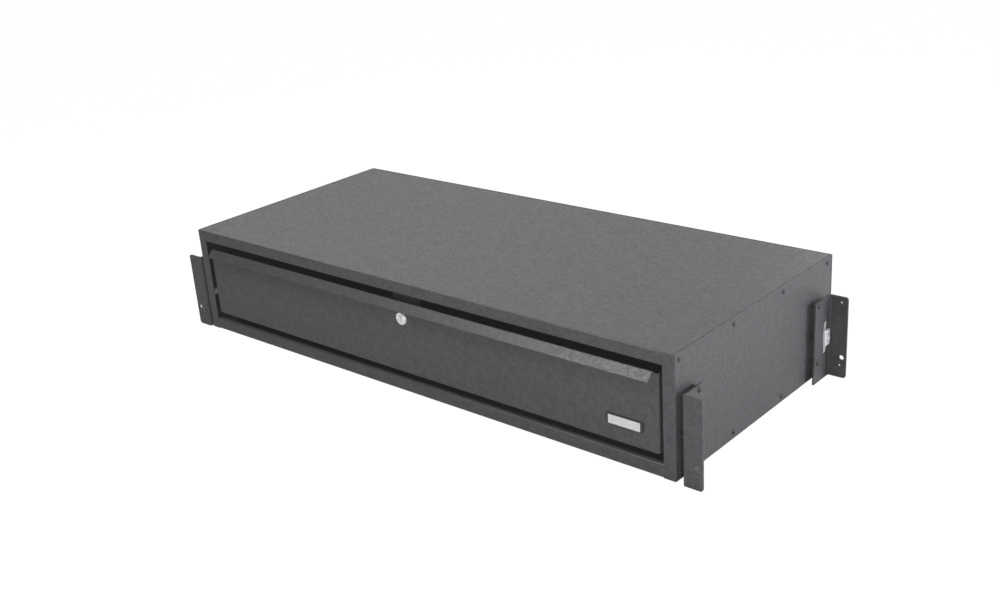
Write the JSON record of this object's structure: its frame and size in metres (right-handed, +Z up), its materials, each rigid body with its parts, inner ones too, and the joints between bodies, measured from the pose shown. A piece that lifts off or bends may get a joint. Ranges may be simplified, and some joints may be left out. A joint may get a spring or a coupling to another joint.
{
  "type": "lockable cash drawer unit",
  "caption": "Wide low lockable steel drawer in a housing, with a full-width bent pull lip, telescopic ball slides, a cam lock and slotted corner mounting brackets.",
  "frame": {"origin": "bottom centre of the whole unit: the foot of the brackets, midway between the pull lip's edge and the rear screw heads, and midway between the sides", "axes": "+X to the right seen from the front, +Y back into the housing (the drawer opens towards -Y), +Z up"},
  "size_m": [1.124, 0.4666, 0.196],
  "materials": {
    "black_powder_coat": "satin black powder coat with a fine texture",
    "zinc_plate": "bright zinc plating",
    "slide_zinc": "rolled steel, blue zinc plating",
    "black_oxide": "blackened steel screws",
    "lock_nickel": "nickel-plated zinc casting",
    "ball_steel": "polished bearing steel",
    "cage_steel": "thin pressed steel",
    "black_rubber": "matt black rubber",
    "plate_aluminium": "brushed aluminium, blank",
    "bezel_plastic": "black moulded plastic"
  },
  "bodies": {
    "housing": {"bottom_panel": "black_powder_coat", "top_panel": "black_powder_coat", "left_side_panel": "black_powder_coat", "right_side_panel": "black_powder_coat", "rear_panel": "black_powder_coat", "side_screws": "black_oxide", "rear_panel_screws": "black_oxide", "rear_bumpers": "black_rubber", "lock_keeper": "black_powder_coat", "front_left_bracket": "black_powder_coat", "front_right_bracket": "black_powder_coat", "rear_left_bracket": "black_powder_coat", "rear_right_bracket": "black_powder_coat", "bracket_spacer_bars": "zinc_plate", "bracket_clamp_plates": "zinc_plate", "bracket_bolts": "zinc_plate", "bracket_bolt_nuts": "zinc_plate", "bracket_screws": "black_oxide", "bracket_sleeves": "black_oxide", "bracket_screw_nuts": "zinc_plate", "left_slide_mount": "black_powder_coat", "right_slide_mount": "black_powder_coat", "left_slide_outer": "slide_zinc", "right_slide_outer": "slide_zinc", "slide_mount_screws": "zinc_plate"},
    "drawer": {"drawer_tray": "black_powder_coat", "drawer_back": "black_powder_coat", "drawer_front": "black_powder_coat", "front_nuts": "zinc_plate", "plate_bezel": "bezel_plastic", "name_plate": "plate_aluminium", "lock_barrel": "lock_nickel", "lock_nut": "lock_nickel", "left_slide_inner": "slide_zinc", "right_slide_inner": "slide_zinc", "slide_tray_screws": "zinc_plate"},
    "lock_cylinder": {"lock_plug": "lock_nickel", "lock_cam": "zinc_plate", "cam_screw": "zinc_plate"},
    "left_middle_member": {"left_slide_middle": "slide_zinc"},
    "left_outer_cage": {"left_outer_ball_cage": "cage_steel", "left_outer_balls": "ball_steel"},
    "left_inner_cage": {"left_inner_ball_cage": "cage_steel", "left_inner_balls": "ball_steel"},
    "right_middle_member": {"right_slide_middle": "slide_zinc"},
    "right_outer_cage": {"right_outer_ball_cage": "cage_steel", "right_outer_balls": "ball_steel"},
    "right_inner_cage": {"right_inner_ball_cage": "cage_steel", "right_inner_balls": "ball_steel"}
  },
  "joints": [
    {"name": "drawer_slide", "type": "slide", "parent": "housing", "child": "drawer", "axis": [0, -1, 0], "range_m": [0, 0.38]},
    {"name": "left_middle_member_slide", "type": "slide", "parent": "housing", "child": "left_middle_member", "axis": [0, -1, 0], "range_m": [0, 0.19]},
    {"name": "left_outer_cage_slide", "type": "slide", "parent": "housing", "child": "left_outer_cage", "axis": [0, -1, 0], "range_m": [0, 0.095]},
    {"name": "left_inner_cage_slide", "type": "slide", "parent": "housing", "child": "left_inner_cage", "axis": [0, -1, 0], "range_m": [0, 0.285]},
    {"name": "right_middle_member_slide", "type": "slide", "parent": "housing", "child": "right_middle_member", "axis": [0, -1, 0], "range_m": [0, 0.19]},
    {"name": "right_outer_cage_slide", "type": "slide", "parent": "housing", "child": "right_outer_cage", "axis": [0, -1, 0], "range_m": [0, 0.095]},
    {"name": "right_inner_cage_slide", "type": "slide", "parent": "housing", "child": "right_inner_cage", "axis": [0, -1, 0], "range_m": [0, 0.285]},
    {"name": "lock_turn", "type": "hinge", "parent": "drawer", "child": "lock_cylinder", "pos_m": [0, -0.21085, 0.1337], "axis": [0, 1, 0], "range_deg": [0, 90]}
  ],
  "couplings": [
    {"joint": "left_middle_member_slide", "follows": "drawer_slide", "ratio": 0.5},
    {"joint": "left_outer_cage_slide", "follows": "drawer_slide", "ratio": 0.25},
    {"joint": "left_inner_cage_slide", "follows": "drawer_slide", "ratio": 0.75},
    {"joint": "right_middle_member_slide", "follows": "drawer_slide", "ratio": 0.5},
    {"joint": "right_outer_cage_slide", "follows": "drawer_slide", "ratio": 0.25},
    {"joint": "right_inner_cage_slide", "follows": "drawer_slide", "ratio": 0.75}
  ]
}
